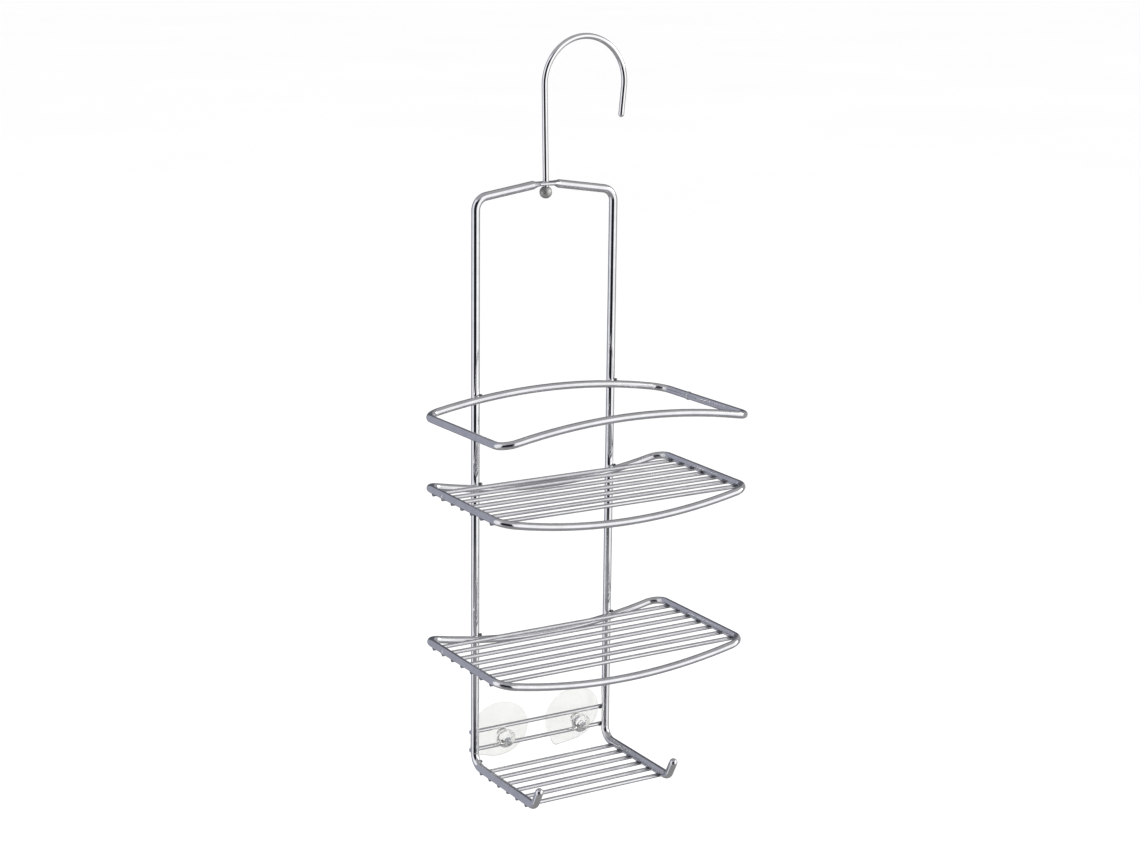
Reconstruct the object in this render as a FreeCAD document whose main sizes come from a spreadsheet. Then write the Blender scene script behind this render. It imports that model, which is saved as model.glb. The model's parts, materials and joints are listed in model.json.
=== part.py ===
import FreeCAD, Part
import math
import os

# Hanging wire shower caddy, in millimetres.
# +Z is up, +X runs to the right along the shelves and +Y points at the wall behind.
# The origin is the hook seat: the point inside the top of the hook loop that rests
# on the shower arm.  Everything hangs below it.

Vector = FreeCAD.Vector
UP = Vector(0, 0, 1)
ALONG_X = Vector(1, 0, 0)
ALONG_Y = Vector(0, 1, 0)

# ---------------------------------------------------------------------------
# Driving dimensions
# ---------------------------------------------------------------------------

SIZES = [
    # hook
    ("hook_wire", 4.8, "hook wire diameter"),
    ("hook_radius", 37.9, "hook loop radius to the wire's centre line"),
    ("hook_lean", 1.4, "lean of the shaft from its foot towards the left, degrees"),
    ("hook_overturn", 5.5, "how far the loop turns past a half circle, degrees"),
    ("hook_tail", 23.1, "straight end of the hook after the loop"),
    ("ball_diameter", 10.4, "ball on the lower end of the hook"),
    ("ball_socket_depth", 4.0, "how far the shaft goes into the ball"),
    ("swivel_clearance", 0.1, "radial clearance of the shaft in the crown"),
    ("ball_gap", 0.3, "gap between the ball and the crown's underside"),
    # frame
    ("seat_height", 608.0, "hook seat above the base rails' centre line"),
    ("frame_wire", 7.0, "frame wire diameter"),
    ("upright_spacing", 130.0, "distance between the uprights' centre lines"),
    ("shoulder_level", 484.0, "virtual corner of the frame above the base rails"),
    ("gable_rise", 9.7, "rise of the gable from shoulder to virtual apex"),
    ("shoulder_radius", 11.0, "bend radius of the two top corners"),
    ("crown_length", 15.0, "length of the flattened crown"),
    ("crown_ramp", 4.5, "length of each ramp from round wire to crown"),
    ("crown_width", 9.5, "width of the flattened crown"),
    ("crown_thickness", 3.1, "thickness of the flattened crown"),
    ("base_bend_radius", 11.5, "bend radius from upright to base rail"),
    ("base_length", 101.3, "upright axis to the virtual corner of the hook tip"),
    ("tip_angle", 62.0, "angle of the hook tips above the base rails, degrees"),
    ("tip_bend_radius", 7.5, "bend radius of the hook tips"),
    ("tip_length", 16.6, "virtual corner to the centre of the tip's rounded end"),
    # guard ring and shelf rings
    ("ring_wire", 6.2, "wire diameter of the rings"),
    ("ring_width", 229.0, "ring width between the side rails' centre lines"),
    ("ring_depth", 129.0, "ring depth between back and front runs"),
    ("ring_corner_radius", 12.7, "bend radius of the ring corners"),
    ("guard_arch", 11.8, "rise of the guard ring's runs in the middle"),
    ("guard_tilt", 0.8, "how much the guard ring rises towards the front, degrees"),
    ("shelf_sag", 13.0, "drop of the shelf rings' runs in the middle"),
    ("guard_level", 311.7, "guard ring's side rails above the base rails"),
    ("upper_level", 253.5, "upper shelf's side rails above the base rails"),
    ("lower_level", 122.5, "lower shelf's side rails above the base rails"),
    # slats and cross wires
    ("slat_wire", 3.5, "slat and cross wire diameter"),
    ("slat_overhang", 2.0, "slat end beyond the side rail's centre line"),
    ("shelf_slat_first", 17.5, "ring's back run to the first shelf slat"),
    ("shelf_slat_gap", 0.6, "last shelf slat's side to the start of the front corners"),
    ("base_slat_gap", 0.25, "end of the base bend to the first base slat's side"),
    ("base_slat_last", 11.4, "last base slat to the virtual corner of the hook tip"),
    ("cross_low_level", 11.7, "lower cross wire above the base rails"),
    ("cross_gap", 16.2, "distance between the two cross wires"),
    ("cross_overhang", 2.5, "cross wire end beyond the upright's axis"),
    ("weld_sink", 1.0, "how far rings and cross wires sink into the frame wire"),
    ("slat_sink", 2.2, "how far slats sink into the rails above them"),
    # suction cups
    ("cup_rim_radius", 26.5, "rim radius"),
    ("cup_lip", 0.8, "width of the flat lip on the rim"),
    ("cup_depth", 6.5, "bell height from flange to rim"),
    ("cup_hollow", 5.0, "depth of the hollow at its centre"),
    ("cup_flange_radius", 6.6, "radius where the bell meets the neck"),
    ("cup_neck_radius", 4.8, "neck radius between the cross wires"),
    ("cup_neck_length", 8.6, "neck length between head and bell"),
    ("cup_head_radius", 8.3, "head radius"),
    ("cup_head_depth", 6.5, "head height in front of the wires"),
    ("cup_tab_radius", 5.0, "radius of the pull tab's rounded end"),
    ("cup_tab_reach", 26.5, "cup axis to the centre of the tab's rounded end"),
    ("cup_tab_thickness", 1.4, "pull tab thickness"),
    ("cup_pitch", 10.0, "upward tilt of the cups' axes, degrees"),
    ("left_cup_place", -35.0, "left cup from the frame's middle"),
    ("left_cup_yaw", 8.0, "turn of the left cup towards the middle, degrees"),
    ("left_tab_turn", 50.0, "left pull tab from straight down, degrees"),
    ("right_cup_place", 39.0, "right cup from the frame's middle"),
    ("right_cup_yaw", 2.0, "turn of the right cup, degrees"),
    ("right_tab_turn", 27.0, "right pull tab from straight down, degrees"),
]

SHELF_SLATS = 7
BASE_SLATS = 6

# The cups' curved outlines, as shares of the sizes above.
HEAD_EDGE = 0.35        # of the head's height, where its dome starts
DOME_OUT = 0.72         # of the head's radius, a point on its dome ...
DOME_IN = 0.17          # ... and of its height, how far that point lies behind the top
BELL_SWELL = 0.36       # of the bell's height, its outside half way to the rim
HOLLOW_OUT = 0.55       # of the hollow's radius, a point on its roof ...
HOLLOW_DROP = 0.22      # ... and of its depth, how far that point lies below the middle

doc = FreeCAD.newDocument("shower_caddy")
sheet = doc.addObject("Spreadsheet::Sheet", "sizes")
for row, (alias, value, note) in enumerate(SIZES, start=1):
    sheet.set(f"A{row}", note)
    sheet.set(f"B{row}", str(value))
    sheet.setAlias(f"B{row}", alias)
doc.recompute()


def size(alias):
    """A driving dimension, as a number."""
    return float(getattr(sheet, alias))


# Places that several pieces share, as expressions on the sheet.
BASE_Z = "(-sizes.seat_height)"
RING_BACK_Y = "(sizes.weld_sink - (sizes.frame_wire + sizes.ring_wire) / 2)"
CROSS_Y = "((sizes.frame_wire + sizes.slat_wire) / 2 - sizes.weld_sink)"
GABLE_SLOPE = "(2 * sizes.gable_rise / sizes.upright_spacing)"
CROWN_Z = (
    f"({BASE_Z} + sizes.shoulder_level + sizes.gable_rise"
    f" - sizes.crown_length / 2 * {GABLE_SLOPE})"
)
LOOP_Z = "(sizes.hook_wire / 2 - sizes.hook_radius)"
MIDDLE_X = (
    "(-sizes.hook_radius * cos(sizes.hook_lean * 1deg)"
    f" + ({LOOP_Z} - sizes.hook_radius * sin(sizes.hook_lean * 1deg) - {CROWN_Z})"
    " * tan(sizes.hook_lean * 1deg))"
)
BALL_Z = (
    f"({CROWN_Z} - sizes.crown_thickness / 2 - sizes.ball_gap"
    " - sizes.ball_diameter / 2)"
)
SHELF_LAST = "(sizes.ring_corner_radius + sizes.slat_wire / 2 + sizes.shelf_slat_gap)"
SHELF_PITCH = (
    f"((sizes.ring_depth - sizes.shelf_slat_first - {SHELF_LAST})"
    f" / {SHELF_SLATS - 1})"
)
BASE_FIRST = "(sizes.base_bend_radius + sizes.slat_wire / 2 + sizes.base_slat_gap)"
BASE_PITCH = (
    f"((sizes.base_length - {BASE_FIRST} - sizes.base_slat_last)"
    f" / {BASE_SLATS - 1})"
)


def place(expression):
    """A shared place, as a number."""
    return float(sheet.evalExpression(expression))


MIDDLE = place(MIDDLE_X)
BASE = place(BASE_Z)


# ---------------------------------------------------------------------------
# Building blocks
# ---------------------------------------------------------------------------

def bind(item, **expressions):
    """Bind properties of an object to expressions on the sheet."""
    for name, expression in expressions.items():
        item.setExpression(name.replace("__", "."), expression)
    return item


def rod(name, diameter, length, direction, x, y, z):
    """A straight round rod whose size and start are expressions."""
    item = doc.addObject("Part::Cylinder", name)
    item.Placement = FreeCAD.Placement(Vector(), FreeCAD.Rotation(UP, direction))
    return bind(
        item,
        Radius=f"{diameter} / 2",
        Height=length,
        Placement__Base__x=x,
        Placement__Base__y=y,
        Placement__Base__z=z,
    )


def ball(name, diameter, x, y, z):
    """A sphere whose size and centre are expressions."""
    item = doc.addObject("Part::Sphere", name)
    return bind(
        item,
        Radius=f"{diameter} / 2",
        Placement__Base__x=x,
        Placement__Base__y=y,
        Placement__Base__z=z,
    )


def cut(name, base, tool):
    item = doc.addObject("Part::Cut", name)
    item.Base = base
    item.Tool = tool
    return item


def fuse(name, pieces):
    item = doc.addObject("Part::MultiFuse", name)
    item.Shapes = pieces
    return item


def bent_wire(name, edges, diameter, pivot=Vector(), tilt=0):
    """Round wire swept along joined edges; its diameter is an expression.

    tilt turns the whole path about a line through the pivot along X, in degrees.
    """
    spine = doc.addObject("Part::Feature", name + "_path")
    path = Part.Wire([edge.toShape() for edge in edges])
    path.rotate(pivot, ALONG_X, tilt)
    spine.Shape = path.copy()
    first = spine.Shape.Edges[0]
    heading = first.tangentAt(first.FirstParameter)
    section = doc.addObject("Part::Circle", name + "_section")
    section.Placement = FreeCAD.Placement(
        first.valueAt(first.FirstParameter),
        FreeCAD.Rotation(UP, heading),
    )
    bind(section, Radius=f"{diameter} / 2")
    sweep = doc.addObject("Part::Sweep", name)
    sweep.Sections = [section]
    sweep.Spine = (spine, [f"Edge{i + 1}" for i in range(len(edges))])
    sweep.Solid = True
    sweep.Frenet = False
    return sweep


def run_with_bends(points, radii):
    """Straight runs through the points, joined by tangent arcs of the given radii."""
    edges = []
    start = points[0]
    for corner, radius, before, after in zip(points[1:-1], radii, points, points[2:]):
        back = (before - corner).normalize()
        ahead = (after - corner).normalize()
        half_turn = (math.pi - back.getAngle(ahead)) / 2
        trim = radius * math.tan(half_turn)
        enter = corner + back * trim
        leave = corner + ahead * trim
        inward = (back + ahead).normalize()
        middle = corner + inward * (radius / math.cos(half_turn) - radius)
        edges.append(Part.LineSegment(start, enter))
        edges.append(Part.Arc(enter, middle, leave))
        start = leave
    edges.append(Part.LineSegment(start, points[-1]))
    return edges


# ---------------------------------------------------------------------------
# Frame wire: tips, base rails, uprights and gable in one bent wire
# ---------------------------------------------------------------------------

def half_frame_points():
    """Corner points of the left half, from its hook tip to the crown's ramp."""
    x = MIDDLE - size("upright_spacing") / 2
    tip = math.radians(size("tip_angle"))
    corner_y = -size("base_length")
    slope = place(GABLE_SLOPE)
    ramp_start = size("crown_length") / 2 + size("crown_ramp")
    shoulder_z = BASE + size("shoulder_level")
    apex_z = shoulder_z + size("gable_rise")
    tip_end = Vector(
        x,
        corner_y - size("tip_length") * math.cos(tip),
        BASE + size("tip_length") * math.sin(tip),
    )
    return [
        tip_end,
        Vector(x, corner_y, BASE),
        Vector(x, 0, BASE),
        Vector(x, 0, shoulder_z),
        Vector(MIDDLE - ramp_start, 0, apex_z - ramp_start * slope),
    ]


def round_section(x, z, slope_angle):
    """The wire's round section as four arcs, square to the sloping gable."""
    radius = size("frame_wire") / 2
    across = Vector(-math.sin(slope_angle), 0, math.cos(slope_angle))
    centre = Vector(x, 0, z)

    def on_rim(degrees):
        turn = math.radians(degrees)
        return centre + ALONG_Y * (radius * math.cos(turn)) + across * (radius * math.sin(turn))

    arcs = []
    for start in (-45, 45, 135, 225):
        arcs.append(Part.Arc(on_rim(start), on_rim(start + 45), on_rim(start + 90)).toShape())
    return Part.Wire(arcs)


def flat_section(x):
    """The crown's section: flat top and underside with rounded edges."""
    half = size("crown_thickness") / 2
    reach = size("crown_width") / 2 - half
    z = place(CROWN_Z)

    def point(y, height):
        return Vector(x, y, z + height)

    front_edge = Part.Arc(point(-reach, half), point(-reach - half, 0), point(-reach, -half))
    rear_edge = Part.Arc(point(reach, -half), point(reach + half, 0), point(reach, half))
    top = Part.LineSegment(point(reach, half), point(-reach, half))
    underside = Part.LineSegment(point(-reach, -half), point(reach, -half))
    return Part.Wire([edge.toShape() for edge in (rear_edge, top, front_edge, underside)])


def crown_piece(name, shape):
    item = doc.addObject("Part::Feature", name)
    item.Shape = shape
    return item


def make_frame():
    points = half_frame_points()
    radii = [size("tip_bend_radius"), size("base_bend_radius"), size("shoulder_radius")]
    half = bent_wire("half_frame", run_with_bends(points, radii), "sizes.frame_wire")
    half_tip = doc.addObject("Part::Sphere", "half_tip")
    half_tip.Placement.Base = points[0]
    bind(half_tip, Radius="sizes.frame_wire / 2")
    left = fuse("left_half", [half, half_tip])
    right = doc.addObject("Part::Mirroring", "right_half")
    right.Source = left
    right.Normal = ALONG_X
    right.Base = Vector(MIDDLE, 0, 0)

    slope_angle = math.atan(place(GABLE_SLOPE))
    flat_half = size("crown_length") / 2
    ramp_z = points[-1].z
    left_ramp = Part.makeLoft(
        [round_section(points[-1].x, ramp_z, slope_angle), flat_section(MIDDLE - flat_half)],
        True,
    )
    right_end = 2 * MIDDLE - points[-1].x
    right_ramp = Part.makeLoft(
        [flat_section(MIDDLE + flat_half), round_section(right_end, ramp_z, -slope_angle)],
        True,
    )
    flat = Part.Face(flat_section(MIDDLE - flat_half)).extrude(ALONG_X * size("crown_length"))
    pieces = [
        left,
        right,
        crown_piece("crown_left_ramp", left_ramp),
        crown_piece("crown_flat", flat),
        crown_piece("crown_right_ramp", right_ramp),
    ]
    whole = fuse("whole_frame", pieces)
    hole = rod(
        "crown_hole",
        "(sizes.hook_wire + 2 * sizes.swivel_clearance)",
        "4 * sizes.crown_thickness",
        UP,
        MIDDLE_X,
        "0",
        f"{CROWN_Z} - 2 * sizes.crown_thickness",
    )
    return cut("frame_wire", whole, hole)


# ---------------------------------------------------------------------------
# Hook and its ball
# ---------------------------------------------------------------------------

def make_hook():
    """Shaft, loop and tail in one wire; the shaft leans in the crown's hole."""
    radius = size("hook_radius")
    lean = math.radians(size("hook_lean"))
    turn = math.radians(size("hook_overturn"))
    loop = Vector(0, 0, place(LOOP_Z))
    foot_z = place(BALL_Z) + size("ball_diameter") / 2 - size("ball_socket_depth")
    shaft_top = loop - Vector(math.cos(lean), 0, math.sin(lean)) * radius
    foot_x = shaft_top.x + (shaft_top.z - foot_z) * math.tan(lean)
    loop_end = loop + Vector(math.cos(turn), 0, -math.sin(turn)) * radius
    tail_end = loop_end + Vector(-math.sin(turn), 0, -math.cos(turn)) * size("hook_tail")
    edges = [
        Part.LineSegment(Vector(foot_x, 0, foot_z), shaft_top),
        Part.Arc(shaft_top, loop + UP * radius, loop_end),
        Part.LineSegment(loop_end, tail_end),
    ]
    wire = bent_wire("hook_bar", edges, "sizes.hook_wire")
    end = doc.addObject("Part::Sphere", "hook_end")
    end.Placement.Base = tail_end
    bind(end, Radius="sizes.hook_wire / 2")
    return fuse("hook_wire", [wire, end])


def make_ball(hook):
    """The ball under the crown, with a socket cut by the hook's foot."""
    whole = ball("whole_ball", "sizes.ball_diameter", MIDDLE_X, "0", BALL_Z)
    return cut("ball_stop", whole, hook)


# ---------------------------------------------------------------------------
# Guard ring and shelf rings
# ---------------------------------------------------------------------------

def ring_edges(level, rise):
    """Closed ring: straight side rails, tilted corner arcs, arched back and front runs.

    rise is the height of the runs' middle above the side rails; it is negative
    for a run that sags.
    """
    half_width = size("ring_width") / 2
    radius = size("ring_corner_radius")
    back_y = place(RING_BACK_Y)
    front_y = back_y - size("ring_depth")
    z = BASE + level
    lean = 2 * math.atan(rise / (half_width + radius))
    inward = math.cos(lean)
    upward = math.sin(lean)

    def corner(side, rail_y, facing):
        """Points on the arc from a side rail to a run: start, middle and end."""
        start = Vector(MIDDLE + side * half_width, rail_y, z)
        centre = start + Vector(-side * inward, 0, upward) * radius
        end = centre + ALONG_Y * (facing * radius)
        middle = centre + ((start - centre) + (end - centre)).normalize() * radius
        return start, middle, end

    back_left = corner(-1, back_y - radius, 1)
    back_right = corner(1, back_y - radius, 1)
    front_left = corner(-1, front_y + radius, -1)
    front_right = corner(1, front_y + radius, -1)
    back_top = Vector(MIDDLE, back_y, z + rise)
    front_top = Vector(MIDDLE, front_y, z + rise)
    return [
        Part.LineSegment(front_left[0], back_left[0]),
        Part.Arc(*back_left),
        Part.Arc(back_left[2], back_top, back_right[2]),
        Part.Arc(back_right[2], back_right[1], back_right[0]),
        Part.LineSegment(back_right[0], front_right[0]),
        Part.Arc(*front_right),
        Part.Arc(front_right[2], front_top, front_left[2]),
        Part.Arc(front_left[2], front_left[1], front_left[0]),
    ]


def make_ring(name, level_alias, rise, frame, tilt=0):
    """A ring welded to the front of the uprights, with a seat cut for each of them.

    tilt lowers the ring's back and lifts its front about its back run.
    """
    level = size(level_alias)
    pivot = Vector(MIDDLE, place(RING_BACK_Y), BASE + level)
    edges = ring_edges(level, rise)
    whole = bent_wire("whole_" + name, edges, "sizes.ring_wire", pivot, -tilt)
    return cut(name, whole, frame)


# ---------------------------------------------------------------------------
# Slats and cross wires
# ---------------------------------------------------------------------------

def make_slat(name, span, overhang, y, z, carrier):
    """A straight slat under two rails, with its ends seated in the rails."""
    whole = rod(
        "whole_" + name,
        "sizes.slat_wire",
        f"{span} + 2 * {overhang}",
        ALONG_X,
        f"{MIDDLE_X} - {span} / 2 - {overhang}",
        y,
        z,
    )
    return cut(name, whole, carrier)


def make_shelf_slats(prefix, level_alias, ring):
    z = (
        f"{BASE_Z} + sizes.{level_alias}"
        " - (sizes.ring_wire + sizes.slat_wire) / 2 + sizes.slat_sink"
    )
    slats = []
    for i in range(SHELF_SLATS):
        y = f"{RING_BACK_Y} - sizes.shelf_slat_first - {i} * {SHELF_PITCH}"
        name = f"{prefix}_slat_{i + 1}"
        slats.append(make_slat(name, "sizes.ring_width", "sizes.slat_overhang", y, z, ring))
    return slats


def make_base_slats(frame):
    z = f"{BASE_Z} - (sizes.frame_wire + sizes.slat_wire) / 2 + sizes.slat_sink"
    slats = []
    for i in range(BASE_SLATS):
        y = f"-{BASE_FIRST} - {i} * {BASE_PITCH}"
        name = f"base_slat_{i + 1}"
        slats.append(make_slat(name, "sizes.upright_spacing", "sizes.slat_overhang", y, z, frame))
    return slats


def make_cross_wires(frame):
    low = f"{BASE_Z} + sizes.cross_low_level"
    levels = {"cross_wire_low": low, "cross_wire_high": f"{low} + sizes.cross_gap"}
    return [
        make_slat(name, "sizes.upright_spacing", "sizes.cross_overhang", CROSS_Y, z, frame)
        for name, z in levels.items()
    ]


# ---------------------------------------------------------------------------
# Suction cups: head, neck, bell with a hollow, and a pull tab
# ---------------------------------------------------------------------------

def cup_profile():
    """Half section of the cup in its own XY plane; the cup's axis is Y.

    Y = 0 is the middle of the neck, the head is on the -Y side and the rim on +Y.
    """
    neck = size("cup_neck_radius")
    half_neck = size("cup_neck_length") / 2
    head = size("cup_head_radius")
    head_back = -half_neck
    head_front = head_back - size("cup_head_depth")
    head_edge = head_back - size("cup_head_depth") * HEAD_EDGE
    flange = size("cup_flange_radius")
    rim = size("cup_rim_radius")
    rim_y = half_neck + size("cup_depth")
    hollow_rim = rim - size("cup_lip")
    hollow_top = rim_y - size("cup_hollow")

    def at(radius, y):
        return Vector(radius, y, 0)

    shoulder = at((flange + rim) / 2, half_neck + size("cup_depth") * BELL_SWELL)
    hollow_mid = at(hollow_rim * HOLLOW_OUT, hollow_top + size("cup_hollow") * HOLLOW_DROP)
    dome_mid = at(head * DOME_OUT, head_front + size("cup_head_depth") * DOME_IN)

    return [
        Part.Arc(at(0, head_front), dome_mid, at(head, head_edge)),
        Part.LineSegment(at(head, head_edge), at(head, head_back)),
        Part.LineSegment(at(head, head_back), at(neck, head_back)),
        Part.LineSegment(at(neck, head_back), at(neck, half_neck)),
        Part.LineSegment(at(neck, half_neck), at(flange, half_neck)),
        Part.Arc(at(flange, half_neck), shoulder, at(rim, rim_y - size("cup_lip"))),
        Part.LineSegment(at(rim, rim_y - size("cup_lip")), at(rim, rim_y)),
        Part.LineSegment(at(rim, rim_y), at(hollow_rim, rim_y)),
        Part.Arc(at(hollow_rim, rim_y), hollow_mid, at(0, hollow_top)),
        Part.LineSegment(at(0, hollow_top), at(0, head_front)),
    ]


def tab_outline(turn):
    """Outline of the pull tab in the XZ plane: a rounded end tangent to the rim."""
    rim = size("cup_rim_radius")
    end = size("cup_tab_radius")
    reach = size("cup_tab_reach")
    lean = math.acos((rim - end) / reach)
    aim = math.radians(-90 - turn)

    def polar(radius, angle, offset=0):
        centre = Vector(math.cos(aim), 0, math.sin(aim)) * offset
        return centre + Vector(math.cos(angle), 0, math.sin(angle)) * radius

    first = aim - lean
    second = aim + lean
    tip_start = polar(end, first, reach)
    tip_end = polar(end, second, reach)
    edges = [
        Part.LineSegment(polar(rim, first), tip_start),
        Part.Arc(tip_start, polar(end, aim, reach), tip_end),
        Part.LineSegment(tip_end, polar(rim, second)),
        Part.Arc(polar(rim, second), polar(rim, aim + math.pi), polar(rim, first)),
    ]
    return Part.Wire([edge.toShape() for edge in edges])


def make_cup(name, place_alias, yaw_alias, tab_alias):
    profile = doc.addObject("Part::Feature", name + "_profile")
    profile.Shape = Part.Face(Part.Wire([edge.toShape() for edge in cup_profile()]))
    turned = doc.addObject("Part::Revolution", name + "_turned")
    turned.Source = profile
    turned.Axis = ALONG_Y
    turned.Angle = 360

    rim_y = size("cup_neck_length") / 2 + size("cup_depth")
    outline = doc.addObject("Part::Feature", name + "_tab_outline")
    outline.Shape = Part.Face(tab_outline(size(tab_alias)))
    outline.Placement.Base = Vector(0, rim_y - size("cup_tab_thickness"), 0)
    sheet_tab = doc.addObject("Part::Extrusion", name + "_tab_sheet")
    sheet_tab.Base = outline
    sheet_tab.DirMode = "Custom"
    sheet_tab.Dir = ALONG_Y
    bind(sheet_tab, LengthFwd="sizes.cup_tab_thickness")
    sheet_tab.Solid = True
    inside = rod(
        name + "_tab_inside",
        "2 * (sizes.cup_rim_radius - sizes.cup_lip)",
        "4 * sizes.cup_depth",
        ALONG_Y,
        "0",
        "0",
        "0",
    )
    tab = cut(name + "_tab", sheet_tab, inside)
    cup = fuse(name, [turned, tab])
    cup.Placement = FreeCAD.Placement(
        Vector(),
        FreeCAD.Rotation(UP, -size(yaw_alias)) * FreeCAD.Rotation(ALONG_X, size("cup_pitch")),
    )
    return bind(
        cup,
        Placement__Base__x=f"{MIDDLE_X} + sizes.{place_alias}",
        Placement__Base__y=CROSS_Y,
        Placement__Base__z=f"{BASE_Z} + sizes.cross_low_level + sizes.cross_gap / 2",
    )


# ---------------------------------------------------------------------------
# The whole caddy
# ---------------------------------------------------------------------------

def make_caddy():
    frame = make_frame()
    guard = make_ring("guard_ring", "guard_level", size("guard_arch"), frame, size("guard_tilt"))
    upper = make_ring("upper_shelf_ring", "upper_level", -size("shelf_sag"), frame)
    lower = make_ring("lower_shelf_ring", "lower_level", -size("shelf_sag"), frame)
    hook = make_hook()
    pieces = [hook, make_ball(hook), frame, guard, upper, lower]
    pieces += make_shelf_slats("upper", "upper_level", upper)
    pieces += make_shelf_slats("lower", "lower_level", lower)
    pieces += make_base_slats(frame)
    pieces += make_cross_wires(frame)
    pieces.append(make_cup("suction_cup_left", "left_cup_place", "left_cup_yaw", "left_tab_turn"))
    pieces.append(make_cup("suction_cup_right", "right_cup_place", "right_cup_yaw", "right_tab_turn"))
    return pieces


def check(pieces):
    """Stop before anything is written if an object failed or a shape is unusable."""
    for item in doc.Objects:
        if "Invalid" in item.State or "Error" in item.State:
            raise RuntimeError(f"{item.Name} failed: {item.State}")
    for item in pieces:
        if item.Shape.isNull() or not item.Shape.isValid():
            raise RuntimeError(f"{item.Label} has no valid shape")
        if len(item.Shape.Solids) != 1:
            raise RuntimeError(f"{item.Label} has {len(item.Shape.Solids)} solids")


pieces = make_caddy()
doc.recompute()
check(pieces)
os.makedirs("parts", exist_ok=True)
for item in pieces:
    item.Shape.Solids[0].exportStep(os.path.join("parts", item.Label + ".step"))
print(f"{len(pieces)} pieces written")
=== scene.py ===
import json
import math
import random

import bmesh
import bpy
from mathutils import Matrix, Quaternion, Vector, noise


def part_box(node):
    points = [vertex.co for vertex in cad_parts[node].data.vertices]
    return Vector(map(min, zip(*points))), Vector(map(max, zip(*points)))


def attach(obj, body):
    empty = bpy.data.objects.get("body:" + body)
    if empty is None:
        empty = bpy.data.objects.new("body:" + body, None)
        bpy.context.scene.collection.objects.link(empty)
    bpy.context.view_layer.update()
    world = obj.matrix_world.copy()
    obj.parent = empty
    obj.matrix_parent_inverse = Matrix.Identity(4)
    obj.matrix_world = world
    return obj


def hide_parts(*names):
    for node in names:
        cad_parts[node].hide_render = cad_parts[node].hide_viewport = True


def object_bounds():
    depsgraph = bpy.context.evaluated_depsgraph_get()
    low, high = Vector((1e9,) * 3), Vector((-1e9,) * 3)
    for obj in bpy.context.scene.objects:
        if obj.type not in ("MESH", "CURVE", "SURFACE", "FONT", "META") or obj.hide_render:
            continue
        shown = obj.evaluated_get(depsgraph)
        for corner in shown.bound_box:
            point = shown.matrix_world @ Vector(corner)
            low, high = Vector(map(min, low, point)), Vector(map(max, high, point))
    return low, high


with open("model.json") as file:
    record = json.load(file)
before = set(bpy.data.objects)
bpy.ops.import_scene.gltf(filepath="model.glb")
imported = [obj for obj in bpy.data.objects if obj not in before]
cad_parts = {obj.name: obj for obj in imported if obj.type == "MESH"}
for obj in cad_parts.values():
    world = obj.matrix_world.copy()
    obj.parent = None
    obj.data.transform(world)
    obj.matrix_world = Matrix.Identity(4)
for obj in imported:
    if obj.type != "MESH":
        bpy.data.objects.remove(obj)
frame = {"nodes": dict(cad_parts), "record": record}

CAD_LOW, CAD_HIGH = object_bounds()
RECORD = frame["record"]
NODES = frame["nodes"]

# ---------------------------------------------------------------------------
# Sizes in metres.

MM = 0.001
FRAME_WIRE = 7.0 * MM
RING_WIRE = 6.2 * MM
HOOK_WIRE = 4.8 * MM
BALL_DIAMETER = 10.4 * MM
BALL_GAP = 0.3 * MM
CROWN_THICKNESS = 3.1 * MM
CUP_RIM = 26.5 * MM
CUP_LIP = 0.8 * MM

# The photograph's camera: where it stands round the caddy, and how far away.
CAMERA_AZIMUTH = -31.0
CAMERA_ELEVATION = 13.64
CAMERA_ROLL = 0.66
CAMERA_DISTANCE = 1.8666
CAMERA_LENS = 70.2
CAMERA_TARGET = Vector((-0.0134, -0.0051, -0.3215))

# Height of the floor and of the grey table board, below the hanging caddy.
FLOOR_Z = CAD_LOW.z - 0.25


def middle(node):
    """Centre of a CAD node's box."""
    low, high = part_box(node)
    return (Vector(low) + Vector(high)) / 2


def direction(azimuth, elevation):
    """Unit vector; azimuth 0 points along -Y and 90 along +X, in degrees."""
    turn = math.radians(azimuth)
    lift = math.radians(elevation)
    return Vector((math.sin(turn) * math.cos(lift), -math.cos(turn) * math.cos(lift), math.sin(lift)))


# ---------------------------------------------------------------------------
# Node helpers
# ---------------------------------------------------------------------------

class Graph:
    """A short way to write node trees."""

    def __init__(self, tree):
        self.tree = tree
        self.tree.nodes.clear()

    def add(self, kind, **settings):
        node = self.tree.nodes.new(kind)
        for name, value in settings.items():
            setattr(node, name, value)
        return node

    def put(self, socket, value):
        """Link a socket, or set a plain value."""
        if hasattr(value, "is_output"):
            self.tree.links.new(value, socket)
        else:
            socket.default_value = value

    def math(self, operation, a, b=0.0):
        node = self.add("ShaderNodeMath", operation=operation)
        self.put(node.inputs[0], a)
        self.put(node.inputs[1], b)
        return node.outputs[0]

    def ease(self, value, start, end, low=0.0, high=1.0):
        """Smooth step from low at start to high at end."""
        node = self.add("ShaderNodeMapRange", interpolation_type="SMOOTHSTEP")
        for socket, setting in zip(node.inputs, (value, start, end, low, high)):
            self.put(socket, setting)
        return node.outputs[0]

    def mix(self, factor, a, b):
        node = self.add("ShaderNodeMix", data_type="RGBA")
        self.put(node.inputs["Factor"], factor)
        self.put(node.inputs[6], a)
        self.put(node.inputs[7], b)
        return node.outputs[2]

    def noise(self, vector, scale, detail=3.0, roughness=0.5):
        node = self.add("ShaderNodeTexNoise")
        self.put(node.inputs["Vector"], vector)
        node.inputs["Scale"].default_value = scale
        node.inputs["Detail"].default_value = detail
        node.inputs["Roughness"].default_value = roughness
        return node.outputs["Fac"]

    def bump(self, height, distance, strength=1.0):
        node = self.add("ShaderNodeBump")
        node.inputs["Strength"].default_value = strength
        node.inputs["Distance"].default_value = distance
        self.put(node.inputs["Height"], height)
        return node.outputs["Normal"]


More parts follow.
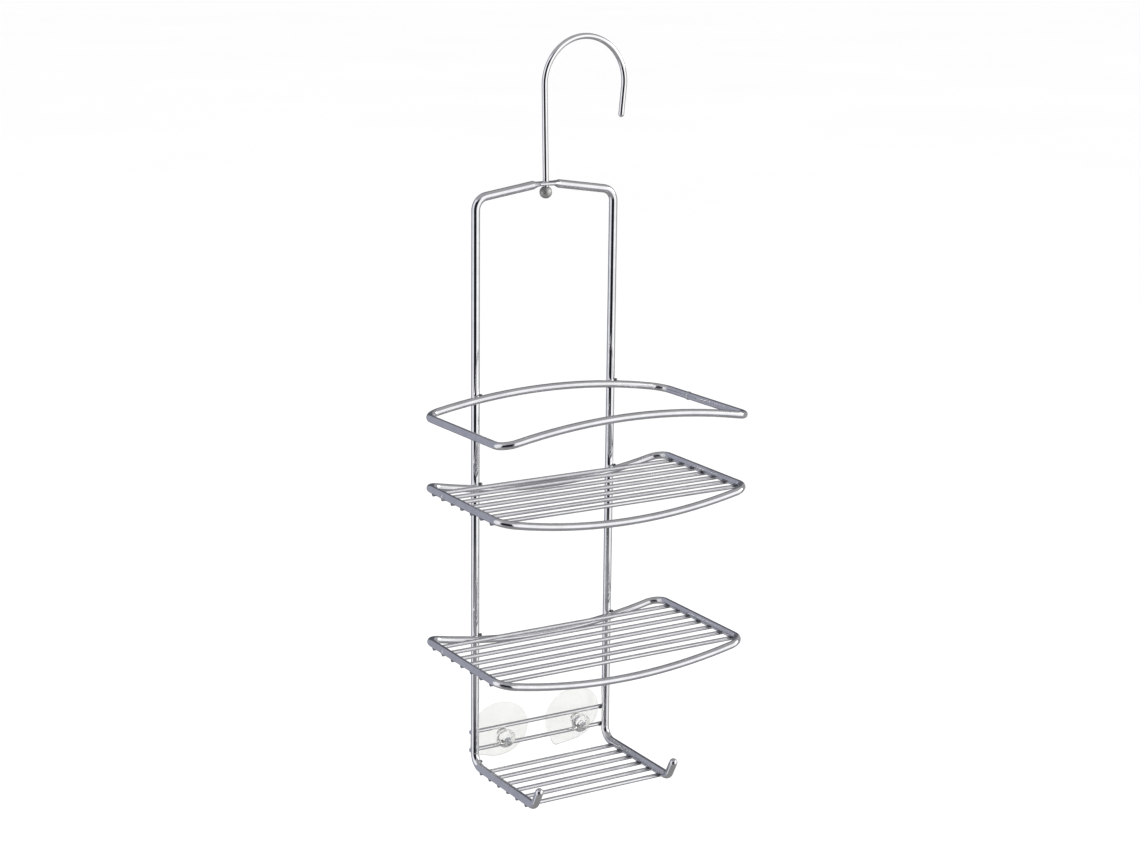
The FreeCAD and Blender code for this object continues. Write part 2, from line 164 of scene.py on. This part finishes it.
def rgb(red, green, blue):
    return (red, green, blue, 1.0)


def new_material(name):
    material = bpy.data.materials.new(name)
    material.use_nodes = True
    graph = Graph(material.node_tree)
    shader = graph.add("ShaderNodeBsdfPrincipled")
    output = graph.add("ShaderNodeOutputMaterial")
    graph.put(output.inputs["Surface"], shader.outputs[0])
    place = graph.add("ShaderNodeTexCoord").outputs["Object"]
    return material, graph, shader, place


# ---------------------------------------------------------------------------
# Materials
# ---------------------------------------------------------------------------

def plated_metal(name, light, dark, smooth, rough, slat_end_reflection=None):
    """Satin plating: cloudy tone, wipe marks, fine pits; optionally a painted dark reflection on the
    slat ends by the rails.

    The last argument is (half length of a slat, how far the painted dark reflection reaches in from
    the rails).
    """
    material, graph, shader, place = new_material(name)
    cloud = graph.noise(place, 90.0, 4.0, 0.6)
    wipe = graph.noise(place, 420.0, 3.0, 0.55)
    grain = graph.noise(place, 5200.0, 2.0, 0.5)
    tone = graph.ease(cloud, 0.35, 0.68)
    colour = graph.mix(tone, rgb(*light), rgb(*dark))
    # Painted dark reflection: the slat ends by the rails are darkened towards near-black, up to 0.75,
    # and broken up by the wipe noise.
    if slat_end_reflection:
        half_length, reach = slat_end_reflection
        split = graph.add("ShaderNodeSeparateXYZ")
        graph.put(split.inputs[0], place)
        off_middle = graph.math("ABSOLUTE", graph.math("SUBTRACT", split.outputs[0], FRAME_MIDDLE))
        painted_reflection = graph.ease(off_middle, half_length - reach, half_length, 0.0, 0.75)
        patchy_painted_reflection = graph.math("MULTIPLY", painted_reflection, graph.ease(wipe, 0.2, 0.6, 0.55, 1.0))
        colour = graph.mix(patchy_painted_reflection, colour, rgb(0.16, 0.165, 0.18))
    graph.put(shader.inputs["Base Color"], colour)
    graph.put(shader.inputs["Roughness"], graph.ease(wipe, 0.3, 0.7, smooth, rough))
    shader.inputs["Metallic"].default_value = 1.0
    pits = graph.bump(grain, 0.000002, 0.2)
    shallow = graph.add("ShaderNodeBump")
    shallow.inputs["Strength"].default_value = 0.1
    shallow.inputs["Distance"].default_value = 0.00002
    graph.put(shallow.inputs["Height"], wipe)
    graph.put(shallow.inputs["Normal"], pits)
    graph.put(shader.inputs["Normal"], shallow.outputs["Normal"])
    return material


def weld_metal():
    """Darker, rougher metal of the weld beads, with plating over burnt spots."""
    material, graph, shader, place = new_material("weld_metal")
    burn = graph.noise(place, 900.0, 4.0, 0.65)
    scale = graph.noise(place, 3800.0, 3.0, 0.6)
    spots = graph.ease(burn, 0.38, 0.62)
    burnt, plated = rgb(0.07, 0.072, 0.085), rgb(0.36, 0.365, 0.39)
    graph.put(shader.inputs["Base Color"], graph.mix(spots, burnt, plated))
    graph.put(shader.inputs["Roughness"], graph.ease(burn, 0.3, 0.7, 0.42, 0.28))
    graph.put(shader.inputs["Normal"], graph.bump(scale, 0.00008, 0.5))
    shader.inputs["Metallic"].default_value = 1.0
    return material


def clear_pvc():
    """Clear soft plastic with a faint green-grey tint, flow marks and a dull bloom."""
    material, graph, shader, place = new_material("clear_pvc")
    flow = graph.noise(place, 120.0, 3.0, 0.55)
    bloom = graph.noise(place, 700.0, 3.0, 0.6)
    tint = graph.mix(graph.ease(flow, 0.3, 0.7), rgb(0.865, 0.875, 0.85), rgb(0.835, 0.845, 0.82))
    graph.put(shader.inputs["Base Color"], tint)
    graph.put(shader.inputs["Roughness"], graph.ease(bloom, 0.3, 0.7, 0.1, 0.17))
    graph.put(shader.inputs["Normal"], graph.bump(flow, 0.0003, 0.15))
    shader.inputs["Transmission Weight"].default_value = 0.96
    shader.inputs["IOR"].default_value = 1.38
    return material


def floor_white():
    """Matt pale studio floor with a faint unevenness."""
    material, graph, shader, place = new_material("floor_white")
    patch = graph.noise(place, 0.8, 2.0, 0.5)
    graph.put(shader.inputs["Base Color"], graph.mix(patch, rgb(0.9, 0.9, 0.9), rgb(0.93, 0.93, 0.93)))
    shader.inputs["Roughness"].default_value = 0.9
    shader.inputs["Specular IOR Level"].default_value = 0.1
    return material


# ---------------------------------------------------------------------------
# Mesh helpers
# ---------------------------------------------------------------------------

def new_piece(name, mesh_data, body, material):
    """Make an object from bmesh data, smooth it and let it ride on a body."""
    mesh = bpy.data.meshes.new(name)
    mesh_data.to_mesh(mesh)
    mesh_data.free()
    for face in mesh.polygons:
        face.use_smooth = True
    piece = bpy.data.objects.new(name, mesh)
    bpy.context.scene.collection.objects.link(piece)
    mesh.materials.append(material)
    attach(piece, body)
    return piece


def turned(data, frame_matrix, profile, segments, outline=None):
    """Skin a profile of (radius, height) turned about local Z.

    outline(angle, index, radius) gives the radius there when the shape isn't round.
    """
    rows = []
    for index, (radius, height) in enumerate(profile):
        if radius < 1e-7:
            rows.append([data.verts.new(frame_matrix @ Vector((0, 0, height)))])
            continue
        row = []
        for step in range(segments):
            angle = 2 * math.pi * step / segments
            reach = outline(angle, index, radius) if outline else radius
            local = Vector((reach * math.cos(angle), reach * math.sin(angle), height))
            row.append(data.verts.new(frame_matrix @ local))
        rows.append(row)
    for first, second in zip(rows, rows[1:]):
        for step in range(segments):
            after = (step + 1) % segments
            if len(first) == 1:
                data.faces.new((first[0], second[after], second[step]))
            elif len(second) == 1:
                data.faces.new((first[step], first[after], second[0]))
            else:
                data.faces.new((first[step], first[after], second[after], second[step]))


def axes_at(origin, z_axis, x_hint):
    """Matrix of a local frame: Z along z_axis, X near x_hint."""
    z_axis = z_axis.normalized()
    y_axis = z_axis.cross(x_hint).normalized()
    x_axis = y_axis.cross(z_axis)
    turn = Matrix((x_axis, y_axis, z_axis)).transposed().to_4x4()
    return Matrix.Translation(origin) @ turn


def add_bead(data, centre, radii, seed):
    """A lump of weld metal: a ball pushed out of round by smooth noise."""
    made = bmesh.ops.create_icosphere(data, subdivisions=3, radius=1.0)
    shift = Vector((seed * 7.3, seed * 3.1, seed * 5.7))
    for vert in made["verts"]:
        coarse = noise.noise(vert.co * 1.7 + shift)
        fine = noise.noise(vert.co * 4.5 + shift)
        lump = 1.0 + 0.22 * coarse + 0.08 * fine
        vert.co = centre + Vector(a * b for a, b in zip(vert.co * lump, radii))


# ---------------------------------------------------------------------------
# Welds and seams
# ---------------------------------------------------------------------------

FRAME_LOW, FRAME_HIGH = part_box("frame_wire")
FRAME_MIDDLE = middle("frame_wire").x
# From the frame's middle out to the centre lines of the uprights and the rings' sides.
UPRIGHT_OUT = (FRAME_HIGH[0] - FRAME_LOW[0]) / 2 - FRAME_WIRE / 2
RING_OUT = (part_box("guard_ring")[1][0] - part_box("guard_ring")[0][0]) / 2 - RING_WIRE / 2


def slat_beads(name, slats, rail_out, rail_wire, material):
    """Beads where each slat meets the inner side of its two rails."""
    rng = random.Random(len(name) * 31)
    data = bmesh.new()
    for number, slat in enumerate(slats):
        centre = middle(slat)
        for side in (-1, 1):
            x = FRAME_MIDDLE + side * (rail_out - rail_wire * 0.44)
            spot = Vector((x, centre.y + rng.uniform(-0.3, 0.3) * MM, centre.z + 0.55 * MM))
            size = 1.0 + rng.uniform(-0.15, 0.15)
            radii = Vector((2.2, 2.0, 1.75)) * MM * size
            add_bead(data, spot, radii, number * 2 + side + 5)
    new_piece(name, data, "frame", material)


def frame_beads(material):
    """Beads at the ring joints, the cross wires and the foot of the left upright."""
    rng = random.Random(11)
    data = bmesh.new()
    beside = FRAME_WIRE * 0.47
    above_right, below_left = (beside, RING_WIRE * 0.48), (-beside, -RING_WIRE * 0.45)
    ring_bead = Vector((1.35, 1.5, 1.2)) * MM
    cross_bead = Vector((1.7, 1.5, 1.8)) * MM
    foot_bead = Vector((1.5, 1.5, 1.1)) * MM
    for ring in ("guard_ring", "upper_shelf_ring", "lower_shelf_ring"):
        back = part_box(ring)[1][1] - RING_WIRE / 2
        for side in (-1, 1):
            x = FRAME_MIDDLE + side * UPRIGHT_OUT
            z = ring_run_height(ring, x)
            for offset, lift in (above_right, below_left):
                spot = Vector((x + offset, back + 2.3 * MM, z + lift))
                add_bead(data, spot, ring_bead, rng.random() * 9)
    for wire in ("cross_wire_low", "cross_wire_high"):
        centre = middle(wire)
        for side in (-1, 1):
            x = FRAME_MIDDLE + side * (UPRIGHT_OUT - FRAME_WIRE * 0.45)
            spot = Vector((x, centre.y - 1.2 * MM, centre.z))
            add_bead(data, spot, cross_bead, rng.random() * 9)
    foot = Vector((FRAME_MIDDLE - UPRIGHT_OUT + beside, -4.5 * MM, CAD_LOW.z + 10.5 * MM))
    add_bead(data, foot, foot_bead, 3.3)
    new_piece("frame_weld_beads", data, "frame", material)


def ring_run_height(ring, x):
    """Height of a ring's back run at x, read from the ring's own mesh."""
    points = [v.co for v in NODES[ring].data.vertices]
    back = max(p.y for p in points) - RING_WIRE
    near = [p.z for p in points if p.y > back and abs(p.x - x) < 9 * MM]
    return (max(near) + min(near)) / 2


def butt_seam(name, ring, side, along, material):
    """The ground-down butt weld of a ring: a low ridge with a groove beside it."""
    low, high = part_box(ring)
    x = FRAME_MIDDLE + side * RING_OUT
    y = high[1] - RING_WIRE / 2 - along * MM
    points = [v.co for v in NODES[ring].data.vertices]
    near = [p.z for p in points if abs(p.x - x) < RING_WIRE * 0.6 and abs(p.y - y) < 60 * MM]
    z = (max(near) + min(near)) / 2
    radius = RING_WIRE / 2
    profile = [
        (radius - 0.25 * MM, -1.7 * MM),
        (radius + 0.05 * MM, -1.4 * MM),
        (radius + 0.42 * MM, -0.8 * MM),
        (radius + 0.1 * MM, -0.1 * MM),
        (radius + 0.48 * MM, 0.55 * MM),
        (radius + 0.08 * MM, 1.2 * MM),
        (radius - 0.25 * MM, 1.5 * MM),
    ]

    def ragged(angle, index, reach):
        wave = noise.noise(Vector((math.cos(angle), math.sin(angle), index * 0.7)) * 2.3)
        return reach + wave * 0.07 * MM

    data = bmesh.new()
    turned(data, axes_at(Vector((x, y, z)), Vector((0, 1, 0)), Vector((1, 0, 0))), profile, 40, ragged)
    new_piece(name, data, "frame", material)


def crown_burr(material):
    """The raised lip that the punch left round the crown's hole."""
    # The socket cuts the ball's top away, so the height starts from its bottom.
    ball_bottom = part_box("ball_stop")[0][2]
    centre = middle("ball_stop")
    top = ball_bottom + BALL_DIAMETER + BALL_GAP + CROWN_THICKNESS
    inside = HOOK_WIRE / 2 + 0.14 * MM
    profile = [
        (inside, -0.4 * MM),
        (inside, 0.12 * MM),
        (inside + 0.18 * MM, 0.3 * MM),
        (inside + 0.5 * MM, 0.26 * MM),
        (inside + 0.9 * MM, 0.05 * MM),
        (inside + 1.1 * MM, -0.3 * MM),
    ]
    data = bmesh.new()
    turned(data, Matrix.Translation(Vector((centre.x, 0, top))), profile, 48)
    new_piece("crown_burr", data, "frame", material)


# ---------------------------------------------------------------------------
# Suction cups
# ---------------------------------------------------------------------------

TAB_END = 5.0 * MM
TAB_REACH = 26.5 * MM

# Half section of a cup, in mm: (radius, height above the rim plane, follows the tab).
CUP_SECTION = [
    (0.0, -21.85, 0), (0.55, -21.82, 0), (0.85, -21.55, 0), (2.3, -21.5, 0),
    (2.8, -21.42, 0), (3.1, -21.05, 0), (3.5, -21.2, 0), (4.9, -20.95, 0),
    (5.4, -20.8, 0), (5.75, -20.35, 0), (6.2, -20.45, 0), (7.2, -19.85, 0),
    (7.9, -19.05, 0), (8.25, -18.0, 0), (8.3, -16.4, 0), (8.15, -15.55, 0),
    (7.7, -15.15, 0), (6.2, -15.08, 0), (5.1, -14.95, 0), (4.85, -14.4, 0),
    (4.75, -11.0, 0), (4.85, -7.4, 0), (5.2, -6.75, 0), (6.4, -6.5, 0),
    (8.6, -6.15, 0), (11.4, -5.6, 0), (14.6, -4.85, 0), (17.8, -3.95, 0),
    (20.8, -3.0, 0), (23.2, -2.15, 0), (24.8, -1.6, 0), (25.5, -1.42, 0),
    (26.0, -1.38, 0.45), (26.1, -1.38, 0.8), (26.2, -1.3, 0.97), (26.5, -0.9, 1),
    (26.5, -0.4, 1), (26.3, -0.06, 1), (26.1, 0.0, 0.8), (25.95, -0.02, 0),
    (25.6, -0.16, 0), (24.4, -0.7, 0), (21.5, -1.9, 0), (18.0, -3.0, 0),
    (14.1, -3.9, 0), (9.5, -4.6, 0), (4.5, -4.92, 0), (0.0, -5.0, 0),
]


def tab_radius(turn):
    """Outline of rim and pull tab: distance from the cup's axis, by angle from the tab."""
    turn = abs((turn + math.pi) % (2 * math.pi) - math.pi)
    lean = math.acos((CUP_RIM - TAB_END) / TAB_REACH)
    if turn >= lean:
        return CUP_RIM
    corner = math.atan2(TAB_END * math.sin(lean), TAB_REACH + TAB_END * math.cos(lean))
    if turn > corner:
        return CUP_RIM / math.cos(lean - turn)
    across = TAB_REACH * math.sin(turn)
    return TAB_REACH * math.cos(turn) + math.sqrt(TAB_END ** 2 - across ** 2)


def suction_cup(side, tab_turn, material):
    """A moulded cup: ringed head with its gate mark, neck, bell, lip and pull tab."""
    rim = next(m for m in RECORD["mounts"] if m["name"] == side + "_cup_rim")
    axis = Vector(rim["axis"]).normalized()
    sideways = Vector((axis.y, -axis.x, 0)).normalized()
    upward = sideways.cross(axis)
    centre = Vector(rim["pos_m"]) - upward * (CUP_RIM - CUP_LIP / 2)
    local = axes_at(centre, axis, sideways)
    # Local X is sideways and local Y points down, seen with Z along the axis.
    down = local.to_3x3().inverted() @ (-upward)
    aim = math.atan2(down.y, down.x) - math.copysign(math.radians(tab_turn), -down.y)

    def outline(angle, index, radius):
        follow = CUP_SECTION[index][2]
        return radius + follow * (tab_radius(angle - aim) - CUP_RIM)

    profile = [(radius * MM, height * MM) for radius, height, _ in CUP_SECTION]
    data = bmesh.new()
    turned(data, local, profile, 160, outline)
    bmesh.ops.recalc_face_normals(data, faces=data.faces)
    cup = new_piece("suction_cup_" + side + "_moulded", data, side + "_cup", material)
    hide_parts("suction_cup_" + side)


# ---------------------------------------------------------------------------
# Camera, light and floor
# ---------------------------------------------------------------------------

def make_camera():
    data = bpy.data.cameras.new("camera")
    data.lens = CAMERA_LENS
    data.sensor_width = 36.0
    data.clip_start, data.clip_end = 0.05, 200.0
    camera = bpy.data.objects.new("camera", data)
    bpy.context.scene.collection.objects.link(camera)
    back = direction(CAMERA_AZIMUTH, CAMERA_ELEVATION)
    camera.location = CAMERA_TARGET + back * CAMERA_DISTANCE
    camera.rotation_mode = "QUATERNION"
    roll = Quaternion((0, 0, 1), math.radians(CAMERA_ROLL))
    camera.rotation_quaternion = (-back).to_track_quat("-Z", "Y") @ roll
    bpy.context.scene.camera = camera


def make_floor():
    data = bmesh.new()
    bmesh.ops.create_grid(data, x_segments=8, y_segments=8, size=60.0)
    mesh = bpy.data.meshes.new("floor")
    data.to_mesh(mesh)
    data.free()
    floor = bpy.data.objects.new("floor", mesh)
    floor.location.z = FLOOR_Z
    mesh.materials.append(floor_white())
    bpy.context.scene.collection.objects.link(floor)
    floor.visible_glossy = False


def make_light(name, azimuth, elevation, distance, width, height, power, in_metal):
    data = bpy.data.lights.new(name, "AREA")
    data.shape = "RECTANGLE"
    data.size, data.size_y = width, height
    data.energy = power
    light = bpy.data.objects.new(name, data)
    away = direction(azimuth, elevation)
    light.location = (CAD_LOW + CAD_HIGH) / 2 + away * distance
    light.rotation_mode = "QUATERNION"
    light.rotation_quaternion = away.to_track_quat("Z", "Y")
    light.visible_glossy = in_metal
    bpy.context.scene.collection.objects.link(light)


def make_world():
    """A white room; glossy rays see a studio instead: white front, grey rear, cards."""
    world = bpy.data.worlds.new("studio")
    bpy.context.scene.world = world
    world.use_nodes = True
    graph = Graph(world.node_tree)
    ray = graph.add("ShaderNodeTexCoord").outputs["Generated"]
    parts = graph.add("ShaderNodeSeparateXYZ")
    graph.put(parts.inputs[0], ray)
    towards_front = graph.math("MULTIPLY", parts.outputs[1], -1.0)
    azimuth = graph.math("DEGREES", graph.math("ARCTAN2", parts.outputs[0], towards_front))
    elevation = graph.math("DEGREES", graph.math("ARCSINE", parts.outputs[2]))

    def band(value, low, high, soft):
        rise = graph.ease(value, low - soft, low + soft)
        fall = graph.ease(value, high - soft, high + soft, 1.0, 0.0)
        return graph.math("MULTIPLY", rise, fall)

    def card(colour, below, azimuths, elevations, soft, soft_up=6):
        across = band(azimuth, *azimuths, soft)
        upward = band(elevation, *elevations, soft_up)
        return graph.mix(graph.math("MULTIPLY", across, upward), below, colour)

    room = rgb(0.36, 0.37, 0.44)
    room = card(rgb(0.38, 0.38, 0.39), room, (50, 132), (-90, 90), 8)
    room = card(rgb(0.14, 0.14, 0.16), room, (128, 170), (-60, 56), 8)
    room = card(rgb(1.15, 1.15, 1.15), room, (-14, 66), (-24, 38), 7, 11)
    room = card(rgb(0.98, 0.99, 1.03), room, (-122, -60), (-46, 52), 6)
    room = card(rgb(0.012, 0.014, 0.022), room, (-75, -1), (-42, 38), 7)
    room = card(rgb(0.40, 0.40, 0.40), room, (-400, 400), (50, 120), 8, 9)
    room = card(rgb(0.30, 0.30, 0.30), room, (-400, 400), (-120, -42), 8, 9)
    rays = graph.add("ShaderNodeLightPath")
    colour = graph.mix(rays.outputs["Is Glossy Ray"], rgb(1.1, 1.1, 1.1), room)
    background = graph.add("ShaderNodeBackground")
    graph.put(background.inputs["Color"], colour)
    background.inputs["Strength"].default_value = 1.0
    output = graph.add("ShaderNodeOutputWorld")
    graph.put(output.inputs["Surface"], background.outputs[0])


def make_board(name, mesh_data, radiance, hold):
    """A studio board that only glossy rays see; hold() gives where it is solid."""
    mesh = bpy.data.meshes.new(name)
    mesh_data.to_mesh(mesh)
    mesh_data.free()
    board = bpy.data.objects.new(name, mesh)
    bpy.context.scene.collection.objects.link(board)
    material = bpy.data.materials.new(name)
    material.use_nodes = True
    graph = Graph(material.node_tree)
    place = graph.add("ShaderNodeSeparateXYZ")
    graph.put(place.inputs[0], graph.add("ShaderNodeTexCoord").outputs["Object"])
    glow = graph.add("ShaderNodeEmission")
    glow.inputs["Color"].default_value = radiance
    mixed = graph.add("ShaderNodeMixShader")
    graph.put(mixed.inputs[0], hold(graph, place.outputs))
    graph.put(mixed.inputs[1], graph.add("ShaderNodeBsdfTransparent").outputs[0])
    graph.put(mixed.inputs[2], glow.outputs[0])
    graph.put(graph.add("ShaderNodeOutputMaterial").inputs["Surface"], mixed.outputs[0])
    mesh.materials.append(material)
    board.visible_camera = False
    board.visible_diffuse = False
    board.visible_transmission = False
    board.visible_shadow = False


def make_boards():
    """A grey table in front of the caddy, and a dark flag low behind it on the right."""
    data = bmesh.new()
    corners = [(-2.6, -2.6), (0.9, -2.6), (0.9, 0.6), (-2.6, 0.6)]
    data.faces.new([data.verts.new((x, y, FLOOR_Z)) for x, y in corners])

    def table(graph, place):
        """A sector of a ring round the caddy, faded at its edges."""
        x = graph.math("SUBTRACT", place[0], FRAME_MIDDLE)
        y = graph.math("MULTIPLY", place[1], -1.0)
        squares = [graph.math("MULTIPLY", side, side) for side in (x, y)]
        reach = graph.math("SQRT", graph.math("ADD", *squares))
        turn = graph.math("DEGREES", graph.math("ARCTAN2", x, y))
        near, far = graph.ease(reach, 0.7, 1.0), graph.ease(reach, 1.2, 1.7, 1.0, 0.0)
        left, right = graph.ease(turn, -96, -80), graph.ease(turn, 2, 16, 1.0, 0.0)
        ends = graph.math("MULTIPLY", near, far)
        return graph.math("MULTIPLY", ends, graph.math("MULTIPLY", left, right))

    make_board("table_board", data, rgb(0.29, 0.29, 0.3), table)

    data = bmesh.new()
    corners = [(-0.2, -1.2), (1.7, -1.2), (1.7, 0.45), (-0.2, 0.45)]
    data.faces.new([data.verts.new((x, 1.2, z)) for x, z in corners])

    def flag(graph, place):
        """Faded at its top and its left edge."""
        top = graph.ease(place[2], 0.1, 0.4, 1.0, 0.0)
        return graph.math("MULTIPLY", top, graph.ease(place[0], -0.2, 0.05))

    make_board("rear_flag", data, rgb(0.1, 0.105, 0.125), flag)


def make_studio():
    bpy.context.scene.view_settings.view_transform = "Standard"
    make_camera()
    make_world()
    make_floor()
    make_boards()
    make_light("key_softbox", 64, 20, 2.2, 0.8, 0.8, 9, True)
    make_light("top_softbox", -20, 72, 2.6, 2.2, 2.2, 12, False)


# ---------------------------------------------------------------------------
# The caddy
# ---------------------------------------------------------------------------

def dress_nodes(materials):
    """Give every CAD node that stays its material."""
    for name, node in NODES.items():
        if name.startswith("suction_cup"):
            continue
        if name == "hook_wire":
            material = materials["hook"]
        elif name == "ball_stop":
            material = materials["ball"]
        elif "base_slat" in name:
            material = materials["base_slats"]
        elif "cross_wire" in name:
            material = materials["cross_wires"]
        elif "slat" in name:
            material = materials["shelf_slats"]
        elif name == "frame_wire":
            material = materials["frame"]
        else:
            material = materials["rings"]
        node.data.materials.clear()
        node.data.materials.append(material)


def make_caddy():
    # How far the painted dark reflection reaches in along the slat ends, for the shelf slats and the
    # base slats.
    shelf_slat_end_reflection = (RING_OUT - RING_WIRE / 2, 5 * MM)
    base_slat_end_reflection = (UPRIGHT_OUT - FRAME_WIRE / 2, 7 * MM)
    silver, grey = (0.83, 0.832, 0.845), (0.75, 0.752, 0.768)
    materials = {
        "frame": plated_metal("frame_plating", silver, grey, 0.07, 0.1),
        "rings": plated_metal("ring_plating", silver, grey, 0.1, 0.13),
        "shelf_slats": plated_metal("shelf_slat_plating", silver, grey, 0.09, 0.12, shelf_slat_end_reflection),
        "base_slats": plated_metal("base_slat_plating", silver, grey, 0.09, 0.12, base_slat_end_reflection),
        "cross_wires": plated_metal("cross_wire_plating", silver, grey, 0.09, 0.12),
        "hook": plated_metal("hook_plating", (0.9, 0.9, 0.905), (0.84, 0.84, 0.85), 0.05, 0.08),
        "ball": plated_metal("ball_plating", (0.6, 0.6, 0.575), (0.46, 0.46, 0.44), 0.5, 0.6),
    }
    weld = weld_metal()
    pvc = clear_pvc()
    dress_nodes(materials)
    upper_slats = [f"upper_slat_{i}" for i in range(1, 8)]
    lower_slats = [f"lower_slat_{i}" for i in range(1, 8)]
    base_slats = [f"base_slat_{i}" for i in range(1, 7)]
    slat_beads("upper_weld_beads", upper_slats, RING_OUT, RING_WIRE, weld)
    slat_beads("lower_weld_beads", lower_slats, RING_OUT, RING_WIRE, weld)
    slat_beads("base_weld_beads", base_slats, UPRIGHT_OUT, FRAME_WIRE, weld)
    frame_beads(weld)
    butt_seam("guard_seam", "guard_ring", 1, 40, materials["rings"])
    butt_seam("upper_seam", "upper_shelf_ring", -1, 34, materials["rings"])
    butt_seam("lower_seam", "lower_shelf_ring", -1, 34, materials["rings"])
    crown_burr(materials["frame"])
    suction_cup("left", 50, pvc)
    suction_cup("right", 27, pvc)


make_caddy()
make_studio()
